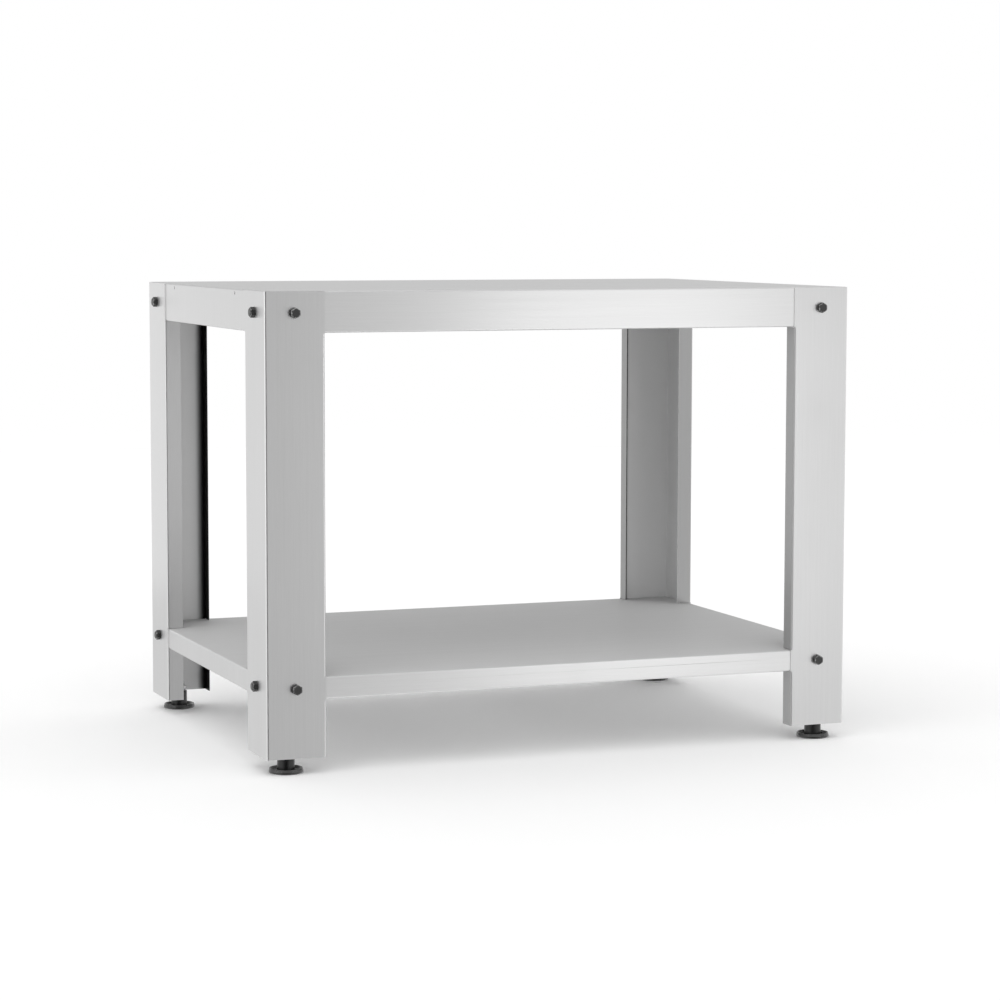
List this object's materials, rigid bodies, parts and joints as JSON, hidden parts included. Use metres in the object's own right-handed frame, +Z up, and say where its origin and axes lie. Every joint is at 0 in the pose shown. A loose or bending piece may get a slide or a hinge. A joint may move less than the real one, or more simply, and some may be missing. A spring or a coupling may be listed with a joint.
{
  "type": "outdoor pizza oven table",
  "caption": "Bolted stainless steel stand for a pizza oven, with a flat worktop, a low storage shelf, folded sheet legs and levelling feet.",
  "frame": {"origin": "on the floor, under the middle of the table", "axes": "+X along the front from left to right, +Y from front to back, +Z up"},
  "size_m": [1.175, 0.85, 0.87],
  "materials": {
    "brushed_stainless": "satin brushed",
    "inner_stainless": "plain rolled sheet",
    "black_bolt": "black coated",
    "zinc_steel": "zinc plated",
    "black_foot": "moulded"
  },
  "bodies": {
    "table": {"top_panel": "brushed_stainless", "shelf_panel": "brushed_stainless", "leg_front_left": "brushed_stainless", "leg_front_right": "brushed_stainless", "leg_rear_left": "brushed_stainless", "leg_rear_right": "brushed_stainless", "top_channel_left": "inner_stainless", "top_channel_right": "inner_stainless", "shelf_channel_left": "inner_stainless", "shelf_channel_right": "inner_stainless", "foot_plate_front_left": "inner_stainless", "foot_plate_front_right": "inner_stainless", "foot_plate_rear_left": "inner_stainless", "foot_plate_rear_right": "inner_stainless", "bolts_front_left": "black_bolt", "bolts_front_right": "black_bolt", "bolts_rear_left": "black_bolt", "bolts_rear_right": "black_bolt", "nuts_front_left": "zinc_steel", "nuts_front_right": "zinc_steel", "nuts_rear_left": "zinc_steel", "nuts_rear_right": "zinc_steel", "weld_nut_front_left": "zinc_steel", "weld_nut_front_right": "zinc_steel", "weld_nut_rear_left": "zinc_steel", "weld_nut_rear_right": "zinc_steel", "lock_nut_front_left": "zinc_steel", "lock_nut_front_right": "zinc_steel", "lock_nut_rear_left": "zinc_steel", "lock_nut_rear_right": "zinc_steel"},
    "foot_front_left": {"foot_pad_front_left": "black_foot"},
    "stud_front_left": {"stud_front_left": "zinc_steel"},
    "foot_front_right": {"foot_pad_front_right": "black_foot"},
    "stud_front_right": {"stud_front_right": "zinc_steel"},
    "foot_rear_left": {"foot_pad_rear_left": "black_foot"},
    "stud_rear_left": {"stud_rear_left": "zinc_steel"},
    "foot_rear_right": {"foot_pad_rear_right": "black_foot"},
    "stud_rear_right": {"stud_rear_right": "zinc_steel"}
  },
  "joints": [
    {"name": "foot_lift_front_left", "type": "slide", "parent": "table", "child": "foot_front_left", "axis": [0, 0, -1], "range_m": [0, 0.021]},
    {"name": "stud_turn_front_left", "type": "hinge", "parent": "foot_front_left", "child": "stud_front_left", "pos_m": [-0.5315, -0.379, 0.035], "axis": [0, 0, -1], "range_deg": [0, 4320]},
    {"name": "foot_lift_front_right", "type": "slide", "parent": "table", "child": "foot_front_right", "axis": [0, 0, -1], "range_m": [0, 0.021]},
    {"name": "stud_turn_front_right", "type": "hinge", "parent": "foot_front_right", "child": "stud_front_right", "pos_m": [0.5315, -0.379, 0.035], "axis": [0, 0, -1], "range_deg": [0, 4320]},
    {"name": "foot_lift_rear_left", "type": "slide", "parent": "table", "child": "foot_rear_left", "axis": [0, 0, -1], "range_m": [0, 0.021]},
    {"name": "stud_turn_rear_left", "type": "hinge", "parent": "foot_rear_left", "child": "stud_rear_left", "pos_m": [-0.5315, 0.379, 0.035], "axis": [0, 0, -1], "range_deg": [0, 4320]},
    {"name": "foot_lift_rear_right", "type": "slide", "parent": "table", "child": "foot_rear_right", "axis": [0, 0, -1], "range_m": [0, 0.021]},
    {"name": "stud_turn_rear_right", "type": "hinge", "parent": "foot_rear_right", "child": "stud_rear_right", "pos_m": [0.5315, 0.379, 0.035], "axis": [0, 0, -1], "range_deg": [0, 4320]}
  ],
  "couplings": [
    {"joint": "stud_turn_front_left", "follows": "foot_lift_front_left", "rad_per_m": 3590.4},
    {"joint": "stud_turn_front_right", "follows": "foot_lift_front_right", "rad_per_m": 3590.4},
    {"joint": "stud_turn_rear_left", "follows": "foot_lift_rear_left", "rad_per_m": 3590.4},
    {"joint": "stud_turn_rear_right", "follows": "foot_lift_rear_right", "rad_per_m": 3590.4}
  ]
}
